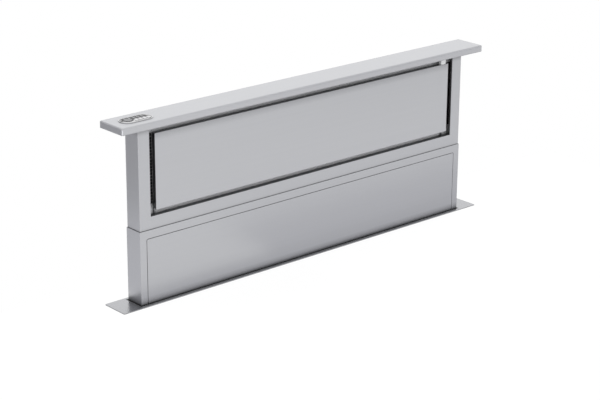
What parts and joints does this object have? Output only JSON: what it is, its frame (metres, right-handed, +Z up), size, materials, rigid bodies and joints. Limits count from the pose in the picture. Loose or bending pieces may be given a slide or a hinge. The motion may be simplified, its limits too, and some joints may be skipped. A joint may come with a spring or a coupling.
{
  "type": "downdraft vent",
  "caption": "Telescopic cooktop downdraft vent: wide cap on a two-stage column with a perimeter suction panel, rack-driven lift and blower housing under the worktop.",
  "frame": {"origin": "centre of the worktop cut-out, at the underside of the worktop plate", "axes": "+X along the cap to the right, -Y towards the cook, +Z up"},
  "size_m": [0.919, 0.2288, 1.0073],
  "materials": {
    "stainless": "brushed",
    "galvanised": "matt zinc",
    "aluminium": "plain",
    "black_plastic": "fine texture",
    "nylon": "natural",
    "rubber": "matt",
    "steel": "turned",
    "bronze": "sintered",
    "motor_black": "satin paint",
    "board_green": "solder mask",
    "chrome": "polished",
    "inlay": "gloss"
  },
  "bodies": {
    "housing": {"base_plate": "stainless", "plate_collar": "stainless", "slot_seal": "rubber", "housing_screws": "chrome", "housing_wrap": "galvanised", "housing_front": "galvanised", "housing_floor": "galvanised", "rack_posts": "steel", "post_webs": "galvanised", "guide_pads": "nylon", "side_brackets": "galvanised", "blower_casing": "galvanised", "blower_front": "galvanised", "inlet_ring": "galvanised", "blower_motor": "motor_black", "outlet_collar": "galvanised", "control_box": "galvanised", "control_lid": "galvanised", "cable_gland": "black_plastic"},
    "lower_column": {"lower_skin": "stainless", "lower_back": "stainless", "lower_panel": "stainless", "access_bar": "stainless", "cross_member": "galvanised", "bearing_brackets": "galvanised", "shaft_bushes": "bronze", "lift_gearbox": "aluminium", "lift_motor": "motor_black"},
    "lift_shaft": {"sync_shaft": "steel", "small_pinions": "steel", "large_pinions": "steel"},
    "upper_column": {"cap": "stainless", "cap_underplate": "stainless", "cap_screws": "chrome", "cap_bumpers": "rubber", "control_bezel": "chrome", "pad_inlay": "inlay", "control_board": "board_green", "upper_skin": "stainless", "window_lip": "stainless", "upper_back": "stainless", "column_head": "galvanised", "filter_rails": "stainless", "filter_frame_left": "aluminium", "filter_frame_right": "aluminium", "filter_meshes": "aluminium", "hinge_brackets": "stainless", "rack_legs": "steel"},
    "front_panel": {"suction_panel": "stainless", "hinge_pins": "chrome", "panel_catch": "nylon"},
    "blower_wheel": {"impeller": "galvanised", "blower_shaft": "steel"},
    "damper": {"damper_flap": "galvanised", "damper_pin": "steel"},
    "power_button_body": {"power_button": "chrome"},
    "raise_key_body": {"raise_key": "chrome"},
    "lower_key_body": {"lower_key": "chrome"},
    "faster_key_body": {"faster_key": "chrome"},
    "slower_key_body": {"slower_key": "chrome"}
  },
  "joints": [
    {"name": "lower_slide", "type": "slide", "parent": "housing", "child": "lower_column", "axis": [0, 0, 1], "range_m": [-0.14199, 0]},
    {"name": "upper_slide", "type": "slide", "parent": "lower_column", "child": "upper_column", "axis": [0, 0, 1], "range_m": [-0.19362, 0]},
    {"name": "shaft_spin", "type": "hinge", "parent": "lower_column", "child": "lift_shaft", "pos_m": [0, 0, -0.156], "axis": [1, 0, 0], "range_deg": [0, 986.09]},
    {"name": "panel_hinge", "type": "hinge", "parent": "upper_column", "child": "front_panel", "pos_m": [0, -0.013, 0.184], "axis": [1, 0, 0], "range_deg": [0, 50]},
    {"name": "blower_spin", "type": "hinge", "parent": "housing", "child": "blower_wheel", "pos_m": [0, -0.07, -0.372], "axis": [0, -1, 0], "continuous": true},
    {"name": "damper_turn", "type": "hinge", "parent": "housing", "child": "damper", "pos_m": [0.1005, -0.0793, -0.6292], "axis": [1, 0, 0], "range_deg": [0, 75], "stiffness_Nm_per_rad": 0.03},
    {"name": "power_press", "type": "slide", "parent": "upper_column", "child": "power_button_body", "axis": [0, 0, 1], "range_m": [-0.0008, 0], "stiffness_N_per_m": 2500},
    {"name": "raise_press", "type": "slide", "parent": "upper_column", "child": "raise_key_body", "axis": [0, 0, 1], "range_m": [-0.0008, 0], "stiffness_N_per_m": 2500},
    {"name": "lower_press", "type": "slide", "parent": "upper_column", "child": "lower_key_body", "axis": [0, 0, 1], "range_m": [-0.0008, 0], "stiffness_N_per_m": 2500},
    {"name": "faster_press", "type": "slide", "parent": "upper_column", "child": "faster_key_body", "axis": [0, 0, 1], "range_m": [-0.0008, 0], "stiffness_N_per_m": 2500},
    {"name": "slower_press", "type": "slide", "parent": "upper_column", "child": "slower_key_body", "axis": [0, 0, 1], "range_m": [-0.0008, 0], "stiffness_N_per_m": 2500}
  ],
  "couplings": [
    {"joint": "upper_slide", "follows": "lower_slide", "ratio": 1.3636},
    {"joint": "shaft_spin", "follows": "lower_slide", "rad_per_m": -121.21}
  ]
}
